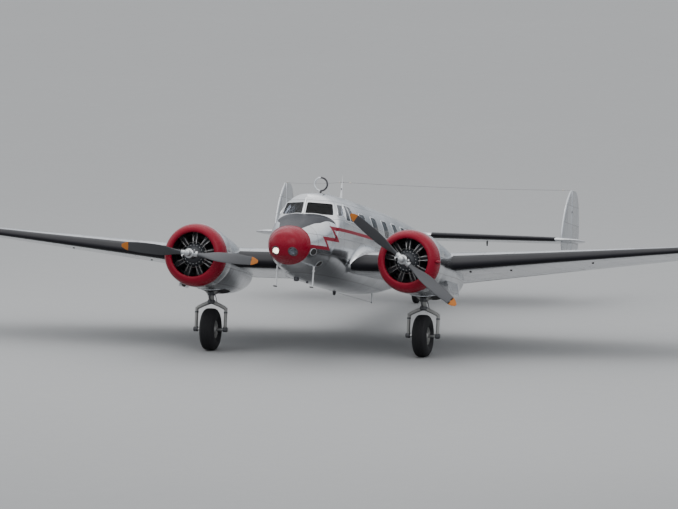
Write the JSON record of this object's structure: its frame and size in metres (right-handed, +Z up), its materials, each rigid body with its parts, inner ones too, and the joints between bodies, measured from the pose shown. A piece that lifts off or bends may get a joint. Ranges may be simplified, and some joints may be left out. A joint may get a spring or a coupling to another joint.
{
  "type": "light airliner",
  "caption": "Twin-engine low-wing metal airliner of the 1930s with twin fins, fixed in its parked stance on two main wheels and a tail wheel.",
  "frame": {"origin": "on the ground under the middle of the whole aircraft's box", "axes": "+X to the aircraft's own left, -Y towards the nose, +Z up; the airframe stands nose-up by 10.93 degrees on its tail wheel"},
  "size_m": [16.764, 11.7786, 3.3889],
  "materials": {
    "polished": "polished bare sheet",
    "red_paint": "gloss red paint on sheet",
    "engine_iron": "dark machined metal",
    "gear_steel": "silver painted metal",
    "blade_metal": "dark metal blades with orange tips",
    "tyre": "worn rubber",
    "window_glass": "clear",
    "leather": "brown leather on a frame",
    "black_panel": "matt black"
  },
  "bodies": {
    "airframe": {"fuselage_front": "polished", "fuselage_middle": "polished", "fuselage_rear": "polished", "tail_cone": "polished", "wing_centre": "polished", "tailplane": "polished", "nose_cap": "red_paint", "wing_left": "polished", "nacelle_left": "polished", "gear_door_left": "polished", "fin_left": "polished", "cowl_left": "red_paint", "engine_left": "engine_iron", "gear_leg_left": "gear_steel", "windscreen_left": "window_glass", "side_window_front_left": "window_glass", "side_window_rear_left": "window_glass", "seat_left": "leather", "pitot_left": "gear_steel", "wing_right": "polished", "nacelle_right": "polished", "gear_door_right": "polished", "fin_right": "polished", "cowl_right": "red_paint", "engine_right": "engine_iron", "gear_leg_right": "gear_steel", "windscreen_right": "window_glass", "side_window_front_right": "window_glass", "side_window_rear_right": "window_glass", "seat_right": "leather", "pitot_right": "gear_steel", "instrument_panel": "black_panel", "loop_aerial": "black_panel", "mast": "gear_steel", "belly_post": "gear_steel", "tail_leg": "gear_steel"},
    "cabin_door": {"cabin_door": "polished"},
    "elevator": {"elevator": "polished"},
    "tail_fork": {"tail_fork": "gear_steel"},
    "tail_wheel": {"tail_tyre": "tyre", "tail_hub": "gear_steel"},
    "propeller_left": {"propeller_left": "blade_metal"},
    "main_wheel_left": {"tyre_left": "tyre", "hub_left": "gear_steel"},
    "aileron_left": {"aileron_left": "polished"},
    "flap_inner_left": {"flap_inner_left": "polished"},
    "flap_outer_left": {"flap_outer_left": "polished"},
    "rudder_left": {"rudder_left": "polished"},
    "propeller_right": {"propeller_right": "blade_metal"},
    "main_wheel_right": {"tyre_right": "tyre", "hub_right": "gear_steel"},
    "aileron_right": {"aileron_right": "polished"},
    "flap_inner_right": {"flap_inner_right": "polished"},
    "flap_outer_right": {"flap_outer_right": "polished"},
    "rudder_right": {"rudder_right": "polished"}
  },
  "joints": [
    {"name": "propeller_left_spin", "type": "hinge", "parent": "airframe", "child": "propeller_left", "pos_m": [2.12, -4.92748, 2.07095], "axis": [0, 0.9819, -0.1896], "continuous": true},
    {"name": "main_wheel_left_spin", "type": "hinge", "parent": "airframe", "child": "main_wheel_left", "pos_m": [2.12, -3.43564, 0.40803], "axis": [1, 0, 0], "continuous": true},
    {"name": "aileron_left_hinge", "type": "hinge", "parent": "airframe", "child": "aileron_left", "pos_m": [4.66, -1.01739, 1.54897], "axis": [0.9897, -0.0787, 0.1195], "range_deg": [-20, 20]},
    {"name": "flap_inner_left_hinge", "type": "hinge", "parent": "airframe", "child": "flap_inner_left", "pos_m": [0.83, -0.66062, 1.10767], "axis": [-1, -0.0002, -0.0009], "range_deg": [0, 60]},
    {"name": "flap_outer_left_hinge", "type": "hinge", "parent": "airframe", "child": "flap_outer_left", "pos_m": [2.15, -0.6651, 1.11591], "axis": [-0.9862, 0.0928, -0.1374], "range_deg": [0, 60]},
    {"name": "rudder_left_hinge", "type": "hinge", "parent": "airframe", "child": "rudder_left", "pos_m": [2.93, 5.11782, 1.1909], "axis": [0, 0.1896, 0.9819], "range_deg": [-25, 25]},
    {"name": "propeller_right_spin", "type": "hinge", "parent": "airframe", "child": "propeller_right", "pos_m": [-2.12, -4.92748, 2.07095], "axis": [0, 0.9819, -0.1896], "continuous": true},
    {"name": "main_wheel_right_spin", "type": "hinge", "parent": "airframe", "child": "main_wheel_right", "pos_m": [-2.12, -3.43564, 0.40803], "axis": [1, 0, 0], "continuous": true},
    {"name": "aileron_right_hinge", "type": "hinge", "parent": "airframe", "child": "aileron_right", "pos_m": [-4.66, -1.01739, 1.54897], "axis": [0.9897, 0.0787, -0.1195], "range_deg": [-20, 20]},
    {"name": "flap_inner_right_hinge", "type": "hinge", "parent": "airframe", "child": "flap_inner_right", "pos_m": [-0.83, -0.66062, 1.10767], "axis": [-1, 0.0002, 0.0009], "range_deg": [0, 60]},
    {"name": "flap_outer_right_hinge", "type": "hinge", "parent": "airframe", "child": "flap_outer_right", "pos_m": [-2.15, -0.6651, 1.11591], "axis": [-0.9862, -0.0928, 0.1374], "range_deg": [0, 60]},
    {"name": "rudder_right_hinge", "type": "hinge", "parent": "airframe", "child": "rudder_right", "pos_m": [-2.93, 5.11782, 1.1909], "axis": [0, 0.1896, 0.9819], "range_deg": [-25, 25]},
    {"name": "elevator_hinge", "type": "hinge", "parent": "airframe", "child": "elevator", "pos_m": [0, 5.03927, 1.20606], "axis": [1, 0, 0], "range_deg": [-25, 25]},
    {"name": "cabin_door_hinge", "type": "hinge", "parent": "airframe", "child": "cabin_door", "pos_m": [0.652, 1.22492, 0.88322], "axis": [0, -0.1896, -0.9819], "range_deg": [0, 100]},
    {"name": "tail_caster", "type": "hinge", "parent": "airframe", "child": "tail_fork", "pos_m": [0, 4.17297, 0.18909], "axis": [0, 0, 1], "continuous": true},
    {"name": "tail_wheel_spin", "type": "hinge", "parent": "tail_fork", "child": "tail_wheel", "pos_m": [0, 4.29297, 0.18909], "axis": [1, 0, 0], "continuous": true}
  ],
  "couplings": [
    {"joint": "aileron_right_hinge", "follows": "aileron_left_hinge", "ratio": -1},
    {"joint": "rudder_right_hinge", "follows": "rudder_left_hinge", "ratio": 1},
    {"joint": "flap_inner_right_hinge", "follows": "flap_inner_left_hinge", "ratio": 1},
    {"joint": "flap_outer_left_hinge", "follows": "flap_inner_left_hinge", "ratio": 1},
    {"joint": "flap_outer_right_hinge", "follows": "flap_inner_left_hinge", "ratio": 1}
  ]
}
